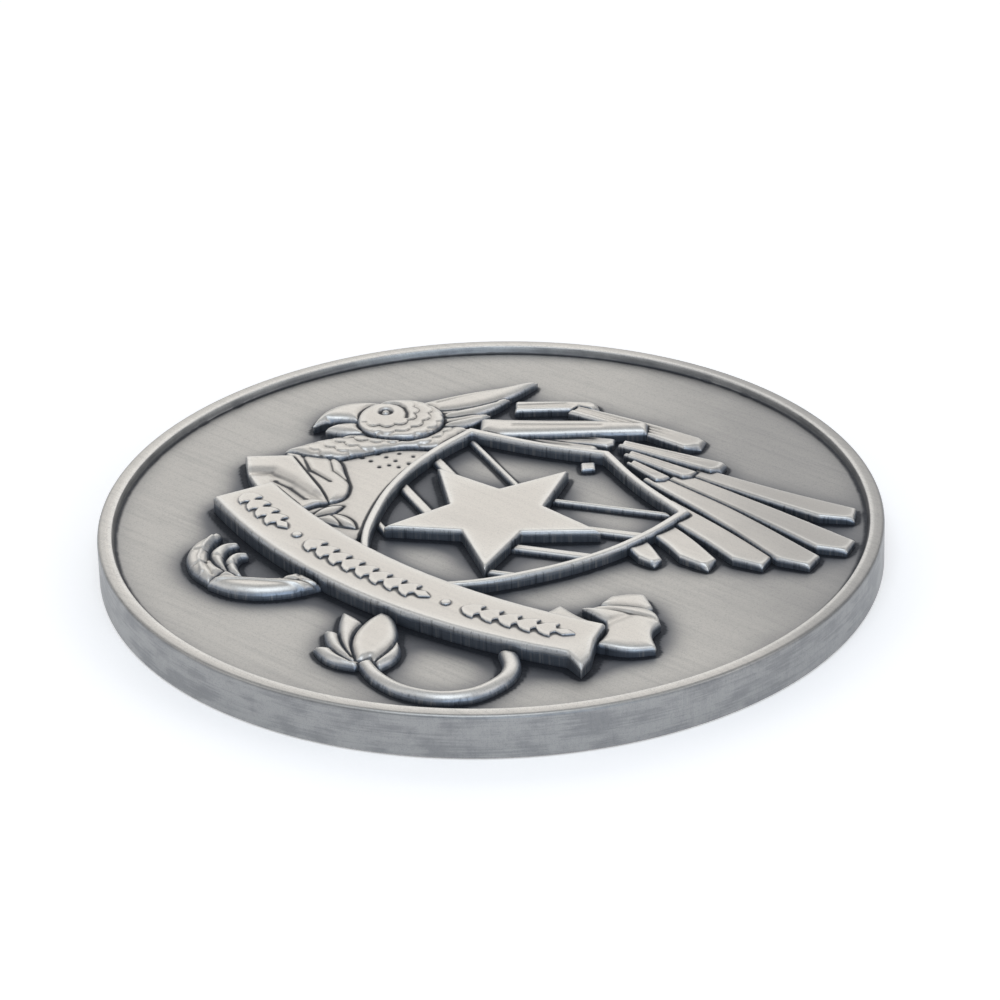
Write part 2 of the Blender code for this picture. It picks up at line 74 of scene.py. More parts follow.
cadNodes = frame["nodes"]
coinRadius = cadHigh.x / mm                                # lengths are in millimetres until the last step
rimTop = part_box("coin_body")[1].z / mm
seatGap = 0.03                                             # the gap the pieces keep to what they stand on
mergeGap = 0.0005                                          # points nearer than this are one point
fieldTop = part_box("shield_border")[0].z / mm - seatGap
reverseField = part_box("reverse_wreath_left")[1].z / mm + seatGap
print("frame loaded:", len(cadNodes), "nodes")

bpy.context.scene.view_settings.view_transform = "Standard"


def selectOnly(thing):
    if bpy.context.mode != "OBJECT":
        bpy.ops.object.mode_set(mode="OBJECT")
    bpy.ops.object.select_all(action="DESELECT")
    thing.select_set(True)
    bpy.context.view_layer.objects.active = thing


def applyModifier(thing, kind, settings):
    selectOnly(thing)
    modifier = thing.modifiers.new(kind.title(), kind)
    for key, value in settings.items():
        setattr(modifier, key, value)
    bpy.ops.object.modifier_apply(modifier=modifier.name)


def readPoints(thing):
    flat = np.empty(len(thing.data.vertices) * 3)
    thing.data.vertices.foreach_get("co", flat)
    return flat.reshape(-1, 3)


def writePoints(thing, points):
    thing.data.vertices.foreach_set("co", points.ravel().astype(np.float32))
    thing.data.update()


def smoothStep(value, low, high):
    t = np.clip((value - low) / (high - low), 0, 1)
    return t * t * (3 - 2 * t)


tinyLength = 1e-6           # keeps a division safe


def distanceToLines(points, starts, ends):
    # flat distance in x and y from every point to the nearest of the lines
    best = np.full(len(points), np.inf)
    for a, b in zip(starts, ends):
        along = b - a
        share = np.clip(((points - a) @ along) / max(along @ along, tinyLength ** 2), 0, 1)
        gap = points - a - share[:, None] * along
        best = np.minimum(best, gap[:, 0] ** 2 + gap[:, 1] ** 2)
    return np.sqrt(best)


def standsIn(thing, node):
    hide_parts(node)
    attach(thing, "root")


coinBody = {
    "rimWidth": 0.96,
    "rimRound": 0.26,          # outer edges, where the plating wears through first
    "innerRound": 0.1,         # top of the rim's inner wall
    "footRound": 0.16,         # soft corner where the inner wall meets the field
    "wallDraft": 0.1,
    "flatEdge": 0.2,           # a ring this far from the rounded edge keeps the rim flat
    "innerEdge": 0.15,
    "edgeRings": 5,            # rings up the outer edge
    "ringStep": (0.22, 0.8),   # spacing of the rings across the obverse field
    "reverseStep": (0.9, 3.0),
    "steps": (528, 192),
}


def fineness(name):
    full, quick = coinBody[name]
    return full


def roundCorner(centre, radius, fromAngle, toAngle, count):
    angles = [math.radians(fromAngle + (toAngle - fromAngle) * i / count) for i in range(count + 1)]
    return [(centre[0] + radius * math.cos(a), centre[1] + radius * math.sin(a)) for a in angles]


def coinProfile():
    # from the axis underneath, out round the edge, and back to the axis on top
    s = coinBody
    r, i, f = s["rimRound"], s["innerRound"], s["footRound"]
    inner = coinRadius - s["rimWidth"]
    foot = inner - s["wallDraft"] - f
    line = [(0.0, reverseField)]
    step = fineness("reverseStep")
    line += [(x, reverseField) for x in np.arange(step, foot - s["wallDraft"], step)]
    line += roundCorner((foot, reverseField - f), f, 90, 0, 4)[:-1]
    line += roundCorner((inner + i, i), i, 180, 270, 3)
    line += [(coinRadius - r - s["flatEdge"], 0.0)]
    line += roundCorner((coinRadius - r, r), r, 270, 360, 6)
    line += [(coinRadius, z) for z in np.linspace(r, rimTop - r, s["edgeRings"])[1:-1]]
    line += roundCorner((coinRadius - r, rimTop - r), r, 0, 90, 6)
    line += [(coinRadius - r - s["flatEdge"], rimTop), (inner + i + s["innerEdge"], rimTop)]
    line += roundCorner((inner + i, rimTop - i), i, 90, 180, 4)
    line += roundCorner((foot, fieldTop + f), f, 0, -90, 5)
    step = fineness("ringStep")
    rings = np.arange(foot, 0, -step)[1:]
    line += [(x, fieldTop) for x in rings if x > 0.3 * step]    # the last ring keeps off the axis
    line += [(0.0, fieldTop)]
    return line


def makeCoinBody():
    line = coinProfile()
    bpy.ops.object.select_all(action="DESELECT")
    bpy.ops.mesh.primitive_plane_add(size=mm)
    thing = bpy.context.object
    thing.name = thing.data.name = "coin_body_struck"
    bpy.ops.object.mode_set(mode="EDIT")
    bpy.ops.mesh.select_all(action="SELECT")
    bpy.ops.mesh.merge(type="CENTER")
    bpy.ops.transform.translate(value=(line[0][0], 0, line[0][1]))
    for before, after in zip(line, line[1:]):
        move = (after[0] - before[0], 0, after[1] - before[1])
        bpy.ops.mesh.extrude_region_move(TRANSFORM_OT_translate={"value": move})
    bpy.ops.mesh.select_all(action="SELECT")
    bpy.ops.mesh.spin(steps=fineness("steps"), angle=2 * math.pi, center=(0, 0, 0), axis=(0, 0, 1))
    bpy.ops.mesh.select_all(action="SELECT")
    bpy.ops.mesh.remove_doubles(threshold=mergeGap)
    bpy.ops.mesh.normals_make_consistent(inside=False)
    bpy.ops.object.mode_set(mode="OBJECT")
    return thing


# edge: share of the height left at the outline; width: how far in the top is reached
# voxel: fineness of the mesh, where it isn't the usual one
reliefKinds = {
    "flat": {"edge": 0.86, "width": 0.2},
    "bar": {"edge": 0.45, "width": 0.22},
    "band": {"edge": 0.84, "width": 0.28},
    "tail": {"edge": 0.7, "width": 0.8},
    "feather": {"edge": 0.8, "width": 0.3},
    "head": {"edge": 0.8, "width": 0.5},
    "soft": {"edge": 0.56, "width": 0.8},
    "limb": {"edge": 0.22, "width": 0.7},
    "sprig": {"edge": 0.16, "width": 0.6},
    "tiny": {"edge": 0.7, "width": 0.14, "voxel": 0.045},
    "reverse": {"edge": 0.45, "width": 0.45, "voxel": 0.09},
}

voxelSize = 0.07
bandVoxels = 1.12           # the long band is a little coarser, which keeps it light
swollen = ("soft", "head", "limb", "sprig", "tail")
seamSwell = 0.04            # how far these kinds grow sideways
sinkDepth = 0.12            # how far each piece's foot goes down into what it stands on
footGap = 0.02              # points this near the lowest belong to the foot

# creases and grooves: points as shares of the piece's box, then width and depth in mm
grooves = {
    "ribbon_left_fold": [
        ([(0.22, 0.35), (0.34, 0.5), (0.57, 0.47), (0.8, 0.4), (1.0, 0.41)], 0.5, 0.26),
        ([(0.47, 0.36), (0.62, 0.35), (0.85, 0.25)], 0.3, 0.22),
    ],
    "eagle_head": [
        ([(0.06, 0.64), (0.15, 0.71), (0.26, 0.74), (0.37, 0.72), (0.47, 0.65), (0.55, 0.55)], 0.14, 0.2),
    ],
    "upper_beak": [([(0.95, 0.28), (0.6, 0.3), (0.3, 0.22)], 0.1, 0.14)],
    "thigh": [
        ([(0.18, 0.75), (0.42, 0.5), (0.72, 0.42)], 0.16, 0.14),
        ([(0.42, 0.92), (0.6, 0.68), (0.86, 0.6)], 0.14, 0.12),
        ([(0.2, 0.4), (0.45, 0.25), (0.62, 0.2)], 0.14, 0.1),
    ],
    "thigh_plume_1": [([(0.5, 0.9), (0.45, 0.5), (0.5, 0.15)], 0.12, 0.14)],
    "thigh_plume_2": [([(0.1, 0.8), (0.5, 0.5), (0.85, 0.2)], 0.12, 0.14)],
    "wing_arm": [
        ([(0.12, 0.28), (0.35, 0.5), (0.62, 0.76), (0.88, 0.93)], 0.2, 0.1),
        ([(0.25, 0.22), (0.48, 0.44), (0.72, 0.68)], 0.16, 0.08),
    ],
    "crest_plume_1": [
        ([(0.25, 0.12), (0.45, 0.4), (0.8, 0.8)], 0.1, 0.12),
        ([(0.1, 0.2), (0.3, 0.5), (0.6, 0.75)], 0.1, 0.1),
    ],
    "crest_plume_2": [([(0.25, 0.1), (0.5, 0.4), (0.85, 0.8)], 0.1, 0.12)],
    "crest_plume_3": [([(0.25, 0.1), (0.5, 0.4), (0.85, 0.8)], 0.1, 0.12)],
    "talon_shank": [
        ([(0.1, 0.08), (0.4, 0.36), (0.72, 0.6), (0.98, 0.76)], 0.1, -0.14),
        ([(0.05, 0.2), (0.35, 0.5), (0.7, 0.72), (0.98, 0.88)], 0.14, 0.16),
        ([(0.3, 0.75), (0.42, 0.58)], 0.12, 0.14),
        ([(0.5, 0.86), (0.62, 0.7)], 0.12, 0.14),
        ([(0.68, 0.95), (0.78, 0.8)], 0.12, 0.12),
    ],
    "talon_toe_front": [
        ([(0.75, 0.1), (0.42, 0.32), (0.2, 0.62), (0.1, 0.85)], 0.1, -0.14),
        ([(0.9, 0.15), (0.6, 0.3), (0.35, 0.6), (0.2, 0.85)], 0.12, 0.16),
        ([(0.45, 0.1), (0.6, 0.32)], 0.1, 0.14),
        ([(0.18, 0.45), (0.42, 0.6)], 0.1, 0.14),
    ],
    "talon_toe_middle": [
        ([(0.9, 0.15), (0.5, 0.4), (0.3, 0.75)], 0.1, 0.14),
        ([(0.3, 0.3), (0.6, 0.45)], 0.1, 0.12),
    ],
    "talon_toe_inner": [
        ([(0.2, 0.15), (0.5, 0.45), (0.7, 0.8)], 0.1, 0.14),
        ([(0.3, 0.5), (0.65, 0.4)], 0.1, 0.12),
    ],
    "ribbon_right_tail": [
        ([(0.04, 0.62), (0.3, 0.72), (0.62, 0.84), (0.86, 0.92)], 0.16, 0.12),
        ([(0.28, 0.18), (0.4, 0.45), (0.46, 0.72)], 0.4, 0.1),
    ],
}

# the down on the chest: small round dimples, as shares of the breast's box
breastDots = [
    (0.12, 0.71), (0.21, 0.71), (0.17, 0.79), (0.33, 0.69), (0.26, 0.79), (0.37, 0.735),
    (0.36, 0.79), (0.45, 0.75), (0.47, 0.81), (0.3, 0.86), (0.42, 0.88), (0.55, 0.84),
]
dotSize = {"radius": 0.14, "depth": 0.14, "from": 0.2}

# a ring cut round the eye leaves its ball standing in the middle; at: shares of the head's box
eye = {"at": (0.26, 0.5), "radius": 0.36, "width": 0.13, "depth": 0.3}


def atShares(shares, low, high):
    return low[:2] + np.array(shares) * (high - low)[:2]


def dip(gap, width):
    # 1 at the middle of a cut, running out over its width
    return np.exp(-((gap / width) ** 2))


def eyeRing(flat, low, high):
    away = np.hypot(*(flat - atShares(eye["at"], low, high)).T)
    return eye["depth"] * dip(away - eye["radius"], eye["width"])


# rows of overlapping feather tips that spread from the eye over the back of the head and down the neck
hackles = {
    "rows": 8,
    "first": 1.9,              # the first row's distance from the eye, and the step to the next
    "step": 0.92,
    "lobe": 1.05,              # width of one tip, and how far it bulges out of its row
    "bulge": 0.3,
    "fade": 0.26,              # the cut behind a row is sharp at the tips and runs out over this length
    "depth": 0.13,
    "back": -10,               # the way they spread, in degrees
    "spread": (-0.15, 0.3),    # cosine of the angle off that way, from no cut to a full one
    "farthest": 9,
}


def hackleCuts(flat):
    s = hackles
    low, high = [np.array(corner[:]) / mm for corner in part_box("eagle_head")]
    way = flat - atShares(eye["at"], low, high)
    away = np.hypot(way[:, 0], way[:, 1])
    angle = np.arctan2(way[:, 1], way[:, 0])
    cut = np.zeros(len(flat))
    for row in range(s["rows"]):
        start = s["first"] + row * s["step"]
        lobes = round(math.pi * start / s["lobe"])
        past = away - start - s["bulge"] * np.abs(np.sin(lobes * angle + row * math.pi / 2))
        made = np.exp(-np.clip(past, 0, s["farthest"]) / s["fade"])
        cut = np.maximum(cut, np.where(past > 0, made, 0))
    return s["depth"] * cut * smoothStep(np.cos(angle - math.radians(s["back"])), *s["spread"])


def kindOf(name):
    if name.startswith(("primary", "upper_feather", "covert", "small_covert")):
        return "feather"
    if name.startswith("shield"):
        return "flat"
    if name.startswith("chevron"):
        return "bar"
    if name == "eagle_head":
        return "head"
    if name in ("ribbon_right_tail", "ribbon_tail_curl", "ribbon_right_fold"):
        return "tail"
    if name.startswith("ribbon"):
        return "band"
    if name.startswith(("ornament", "bead")):
        return "tiny"
    if name.startswith("reverse"):
        return "reverse"
    if name.startswith("talon"):
        return "limb"
    if name.startswith("sprig"):
        return "sprig"
    return "soft"


def footOutline(thing):
    # the edges round the flat face that the piece stands on, as flat start and end points
    points = readPoints(thing)
    floor = points[:, 2].min()
    used = {}
    for polygon in thing.data.polygons:
        facesDown = polygon.normal.z < -0.9
        if facesDown and abs(points[polygon.vertices[0], 2] - floor) < footGap:
            for key in polygon.edge_keys:
                used[key] = used.get(key, 0) + 1
    keys = np.array([key for key, count in used.items() if count == 1])
    return points[keys[:, 0]][:, :2], points[keys[:, 1]][:, :2]


def standUpsideDown(points):
    # the wreaths hang from the reverse field, so they are shaped as if they stood
    points[:, 2] = reverseField - points[:, 2]
    return points


featherForm = {
    "lean": 0.27,              # share of the height lost on the tucked side
    "dish": 0.06,              # and along the middle
    "tip": (0.78, 0.93),       # shares of the half length between which the tip's facet begins
    "tipEdge": 0.4,            # share of the height left at the tip's outline
    "tipWidth": 0.38,
}

# short wing feathers show their barbs as shallow cuts; rows: shares of the half width
barbs = {"rows": (-0.45, 0.0, 0.45), "width": 0.09, "depth": 0.1, "gather": 0.3, "over": (0.1, 0.4)}


def featherShape(points, height, inward, layered):
    # lowest along the side tucked under its neighbour, full along the free side, a facet round the tip
    s = featherForm
    flat = points[:, :2]
    middle = flat.mean(axis=0)
    ways = np.linalg.eigh(np.cov((flat - middle).T))[1]
    along, across = ways[:, 1], ways[:, 0]
    if across[1] > 0:
        across = -across
    if along[0] < 0:
        along = -along
    u = (flat - middle) @ along
    v = (flat - middle) @ across
    half = abs(v).max()
    length = abs(u).max()
    lean = 1 - s["lean"] * (0.5 - 0.5 * np.clip(v / half, -1, 1))
    dish = 1 - s["dish"] * (1 - np.clip(abs(v / half), 0, 1) ** 2)
    atTip = smoothStep(u / length, *s["tip"])
    facet = s["tipEdge"] + (1 - s["tipEdge"]) * np.clip(inward / s["tipWidth"], 0, 1)
    made = height * lean * dish * (1 - atTip + atTip * facet)
    if layered:
        for row in barbs["rows"]:
            # the cuts draw together towards the root and run out before the tip
            gap = abs(v - row * half * (1 - barbs["gather"] + barbs["gather"] * u / length))
            fade = smoothStep(-u / length, -0.6 + 0.25 * abs(row), -0.2) * smoothStep(made, *barbs["over"])
            made = made - barbs["depth"] * dip(gap, barbs["width"]) * fade
    return made


# midrib: the groove along each wreath; tailDroop: the tail falls away from its ridge at that x
# shallowCut: heights over which a cut comes in; settle: the last smoothing
midrib = {"width": 0.16, "depth": 0.09}
tailDroop = {"ridge": 15.6, "from": 1.2, "to": 3.6, "share": 0.14}
bandRoll = {"length": 2.4, "drop": 0.42, "way": (0.93, -0.36)}
shallowCut = {"groove": (0.1, 0.5), "hackle": (0.2, 0.6)}
settle = {"factor": 0.5, "iterations": 3}


def rollEnd(points, height):
    # the right end of the band curls down to the field
    way = np.array(bandRoll["way"])
    reach = points[:, :2] @ way
    t = np.clip((reach - (reach.max() - bandRoll["length"])) / bandRoll["length"], 0, 1)
    return height * (1 - bandRoll["drop"] * (1 - np.sqrt(1 - t * t)))


def cutDetails(name, points, height, shaped):
    # grooves, eye, hackles and dots, taken off the height of the piece that has them
    flat = points[:, :2]
    low, high = points.min(axis=0), points.max(axis=0)
    for line, width, depth in grooves.get(name, []):
        marks = atShares(line, low, high)
        gap = distanceToLines(flat, marks[:-1], marks[1:])
        shaped = shaped - depth * dip(gap, width) * smoothStep(height, *shallowCut["groove"])
    if name == "eagle_head":
        shaped = shaped - eyeRing(flat, low, high)
    if name in ("eagle_head", "neck"):
        shaped = shaped - hackleCuts(flat) * smoothStep(height, *shallowCut["hackle"])
    if name == "breast":
        for spot in atShares(breastDots, low, high):
            gap = np.hypot(*(flat - spot).T)
            shaped = shaped - dotSize["depth"] * dip(gap, dotSize["radius"]) * (height > dotSize["from"])
    return shaped


def refine(name):
    kind = kindOf(name)
    s = reliefKinds[kind]
    cad = cadNodes[name]
    data = cad.data.copy()
    thing = bpy.data.objects.new(name + "_struck", data)
    data.name = thing.name
    data.materials.clear()
    bpy.context.scene.collection.objects.link(thing)
    selectOnly(thing)
    data.transform(Matrix.Scale(1 / mm, 4))                 # millimetres while it is shaped
    bpy.ops.object.mode_set(mode="EDIT")
    bpy.ops.mesh.select_all(action="SELECT")
    bpy.ops.mesh.remove_doubles(threshold=mergeGap)
    bpy.ops.object.mode_set(mode="OBJECT")

    if kind == "reverse":
        writePoints(thing, standUpsideDown(readPoints(thing)))
        data.flip_normals()
    starts, ends = footOutline(thing)
    points = readPoints(thing)
    floor = points[:, 2].min() - (seatGap if kind != "reverse" else 0)
    foot = points[:, 2] < points[:, 2].min() + footGap
    points[foot, 2] -= sinkDepth
    writePoints(thing, points)

    voxel = s.get("voxel", voxelSize) * 1
    if name == "ribbon_band":
        voxel *= bandVoxels
    applyModifier(thing, "REMESH", {"mode": "VOXEL", "voxel_size": voxel})

    points = readPoints(thing)
    flat = points[:, :2]
    inward = distanceToLines(flat, starts, ends)
    share = np.clip(inward / s["width"], 0, 1)
    crown = s["edge"] + (1 - s["edge"]) * np.sqrt(np.clip(1 - (1 - share) ** 2, 0, 1))
    height = np.clip(points[:, 2] - floor, 0, None)
    shaped = height * crown
    if kind == "feather":
        shaped = featherShape(points, shaped, inward, not name.startswith("primary"))
    if kind == "reverse":
        away = np.hypot(flat[:, 0], flat[:, 1])
        shaped = shaped - midrib["depth"] * dip(away - away.mean(), midrib["width"])
    if name == "ribbon_band":
        shaped = rollEnd(points, shaped)
    if name == "ribbon_right_tail":
        fromRidge = abs(points[:, 0] - tailDroop["ridge"])
        shaped *= 1 - tailDroop["share"] * smoothStep(fromRidge, tailDroop["from"], tailDroop["to"])
    shaped = cutDetails(name, points, height, shaped)
    if kind in swollen:
        # closes the seam to the neighbour, which leaves a crease
        normals = np.empty(len(points) * 3)
        thing.data.vertices.foreach_get("normal", normals)
        points[:, :2] += normals.reshape(-1, 3)[:, :2] * seamSwell
    over = points[:, 2] > floor
    points[over, 2] = floor + np.clip(shaped[over], 0, None)
    writePoints(thing, points)
    applyModifier(thing, "SMOOTH", settle)
    if kind == "reverse":
        writePoints(thing, standUpsideDown(readPoints(thing)))
        thing.data.flip_normals()
    return thing


# the patina follows how far every point lies below or above its surroundings
reliefMap = {
    "cell": 0.1,
    "tight": 0.16,             # how far round a point each blur looks
    "near": 0.34,
    "wide": 1.35,
    "tightGain": 7.0,
    "tightRange": (-0.15, 0.32),
    "rimShare": 0.5,           # the wide blur sees only this share of the rim's height
    "rubbedEdge": -0.1,        # the coin's own edge is rubbed, never hollow
}


def blurred(grid, sigma):
    reach = int(3 * sigma) + 1                             # three deviations hold nearly all of the weight
    weights = np.exp(-0.5 * (np.arange(-reach, reach + 1) / sigma) ** 2)
    weights /= weights.sum()

    def smear(row):
        return np.convolve(np.pad(row, reach, mode="edge"), weights, "valid")

    for axis in (0, 1):
        grid = np.apply_along_axis(smear, axis, grid)
    return grid


def heightGrid(things, ground, rimShare):
    cell = reliefMap["cell"]
    half = int(coinRadius / cell) + 2
    grid = np.full((2 * half + 1, 2 * half + 1), ground)
    axis = (np.arange(2 * half + 1) - half) * cell
    away = np.hypot(axis[:, None], axis[None, :])
    rise = (rimTop - fieldTop) * rimShare
    grid[away > coinRadius - coinBody["rimWidth"]] = ground + rise
    for points in things:
        cells = np.round(points[:, :2] / cell).astype(int) + half
        np.maximum.at(grid, (cells[:, 0], cells[:, 1]), points[:, 2])
    return grid, half


def sample(grid, half, points):
    cells = np.clip(points[:, :2] / reliefMap["cell"] + half, 0, 2 * half - 0.001)
    low = np.floor(cells).astype(int)
    part = cells - low
    x, y = low[:, 0], low[:, 1]
    fx, fy = part[:, 0], part[:, 1]
    top = grid[x, y] * (1 - fx) * (1 - fy) + grid[x + 1, y] * fx * (1 - fy)
    return top + grid[x, y + 1] * (1 - fx) * fy + grid[x + 1, y + 1] * fx * fy


def writePatina(things):
    front = {thing: readPoints(thing) for thing in things}
    faces = (
        (lambda z: z, lambda name: not name.startswith("reverse"), fieldTop),
        (lambda z: -z, lambda name: name.startswith(("reverse", "coin")), -reverseField),
    )
    found = {thing: [np.zeros(len(front[thing])), np.zeros(len(front[thing]))] for thing in things}
    for flip, belongs, ground in faces:
        chosen = [thing for thing in things if belongs(thing.name)]
        raised = [front[thing] for thing in chosen if thing is not bodyPiece]
        stacks = [np.column_stack((points[:, :2], flip(points[:, 2]))) for points in raised]
        grid, half = heightGrid(stacks, ground, 1.0)
        wideGrid, half = heightGrid(stacks, ground, reliefMap["rimShare"])
        near = blurred(grid, reliefMap["near"] / reliefMap["cell"])
        tight = blurred(grid, reliefMap["tight"] / reliefMap["cell"])
        wide = blurred(wideGrid, reliefMap["wide"] / reliefMap["cell"])
        for thing in chosen:
            points = front[thing]
            height = flip(points[:, 2])
            use = np.full(len(points), True)
            if thing is bodyPiece:
                use = height > flip(0.5 * (fieldTop + reverseField))
            fine = (sample(tight, half, points) - height) * reliefMap["tightGain"]
            fine = np.clip(fine, *reliefMap["tightRange"])
            found[thing][0][use] = (sample(near, half, points) - height + fine)[use]
            found[thing][1][use] = (sample(wide, half, points) - height)[use]
    edge = np.hypot(*front[bodyPiece][:, :2].T) > coinRadius - 0.5 * coinBody["rimRound"]
    for values in found[bodyPiece]:
        values[edge] = reliefMap["rubbedEdge"]
    for thing in things:
        for label, values in zip(("near", "wide"), found[thing]):
            attribute = thing.data.attributes.new(label, "FLOAT", "POINT")
            attribute.data.foreach_set("value", values.astype(np.float32))


class Wire:
    # a socket that can be used in sums

    def __init__(self, finish, socket):
        self.finish = finish
        self.socket = socket

    def maths(self, operation, first, second=None):
        values = {0: first} if second is None else {0: first, 1: second}
        return self.finish.node("Math", {"operation": operation}, values)

    def __add__(self, other):
        return self.maths("ADD", self, other)

    def __radd__(self, other):
        return self.maths("ADD", other, self)

    def __sub__(self, other):
        return self.maths("SUBTRACT", self, other)

    def __rsub__(self, other):
        return self.maths("SUBTRACT", other, self)

    def __mul__(self, other):
        return self.maths("MULTIPLY", self, other)

    def __rmul__(self, other):
        return self.maths("MULTIPLY", other, self)


class Finish:

    def __init__(self, name):
        self.material = bpy.data.materials.new(name)
        self.material.use_nodes = True
        self.tree = self.material.node_tree
        self.tree.nodes.clear()

    def node(self, kind, settings=None, values=None, output=0):
        made = self.tree.nodes.new("ShaderNode" + kind)
        for key, value in (settings or {}).items():
            setattr(made, key, value)
        for key, value in (values or {}).items():
            if isinstance(value, Wire):
                self.tree.links.new(value.socket, made.inputs[key])
            else:
                made.inputs[key].default_value = value
        return Wire(self, made.outputs[output])

    def ramp(self, value, low, high, fromValue=0.0, toValue=1.0):
        settings = {"interpolation_type": "SMOOTHSTEP", "clamp": True}
        return self.node("MapRange", settings, {0: value, 1: low, 2: high, 3: fromValue, 4: toValue})

    def mix(self, factor, first, second):
        return self.node("Mix", {"data_type": "RGBA"}, {0: factor, 6: first, 7: second}, 2)

    def place(self):
        return self.node("TexCoord", output=3)             # object coordinates

    def stored(self, label):
        return self.node("Attribute", {"attribute_name": label}, output=2)

    def noise(self, scale, detail=2.0, turn=0.0, roughness=0.5):
        # scale: how many features in a millimetre, along each way after the turn about z
        where = self.place()
        values = {0: where, 2: (0, 0, math.radians(turn)), 3: tuple(n / mm for n in scale)}
        placed = self.node("Mapping", {"vector_type": "POINT"}, values)
        values = {"Vector": placed, "Scale": 1.0, "Detail": detail, "Roughness": roughness}
        return self.node("TexNoise", {}, values)


# the scales and turns that noise takes
patterns = {
    "blotch": {"scale": (0.35, 0.35, 0.35), "detail": 4.0},
    "fine": {"scale": (6, 6, 6), "detail": 3.0, "roughness": 0.6},
    "strokes": {"scale": (0.12, 3.2, 1.0), "detail": 3.0, "turn": -70.0},
    "hair": {"scale": (0.3, 11, 1.0), "detail": 2.0, "turn": -70.0},
    "grit": {"scale": (14, 14, 14), "detail": 2.0},
    "sideLines": {"scale": (0.3, 0.3, 7), "detail": 3.0},
    "sidePatches": {"scale": (0.45, 0.45, 0.9), "detail": 4.0},
    "wallStreaks": {"scale": (5, 5, 0.2), "detail": 3.0},
}

# a pair is the range over which an effect comes in, and a share is how strong it is at most
silver = {
    "patinaColour": (0.03, 0.034, 0.043, 1),
    "rubbedColour": (0.86, 0.85, 0.82, 1),
    # dull tone for streaks and grit, and painted shade on the coin's darker side
    "dullAndShadeColour": (0.135, 0.142, 0.158, 1),
    "steep": (0.85, 0.35),               # how far the surface looks up, from a flat top to a wall
    # how much of the painted wall shade the steep sides take
    "wallShadeShare": 0.85,
    "wideShare": 0.45,                   # what a broad hollow adds to a narrow one
    "hollow": (0.1, 0.42),               # millimetres below the surroundings, from clean to black
    "hollowShare": 0.9,
    "wallRelief": 0.42,                  # walls lose this much of the black
    "worn": (0.03, 0.3),                 # millimetres above the surroundings, from mid to bright
    "rubbed": (0.16, 0.34),
    "rubbedShare": 0.55,
    "halo": (0.0, 0.27),
    "paintedShadeWay": (0.66, 0.75, 0),          # painted shade: the side of the coin painted darker, where less light falls on it
    "paintedShade": (0.009, 0.02),               # metres from the middle along that way
    "paintedShadeShare": 0.42,
    "streak": (0.06, -0.2),
    "streakShare": 0.34,
    "grit": (0.82, 0.6),
    "lightStreak": (0.52, 0.72),         # streaks down the walls of the relief
    "lightStreakShare": 0.35,
    "darkStreak": (0.46, 0.28),
    "darkStreakShare": 0.5,
    "sideLine": (0.92, 0.6),             # lines round the coin's own edge
    "sideLineShare": 0.4,
    "blotchOnHollow": 0.12,              # how far the patterns move the limits of an effect
    "fineOnHollow": 0.06,
    "blotchOnHalo": 0.07,
    "blotchOnPaintedShade": 0.006,
    "blotchOnGrain": 0.2,
    "strokesOnGrain": 0.35,
    "hairOnGrain": 0.22,
    "fineOnGrit": 0.6,
    "gritShare": (0.08, 0.2),            # without any brushing, and what full brushing adds
    "linesOnPatches": 0.6,
    "roughness": 0.43,
    "hollowRoughness": 0.12,             # what each effect adds to it
    "fineRoughness": 0.1,
    "haloRoughness": 0.05,
    "grainHeight": 0.004,                # millimetres
    "fineHeight": 0.006,
    "lineHeight": 0.01,
    "bumpStrength": 0.55,
}


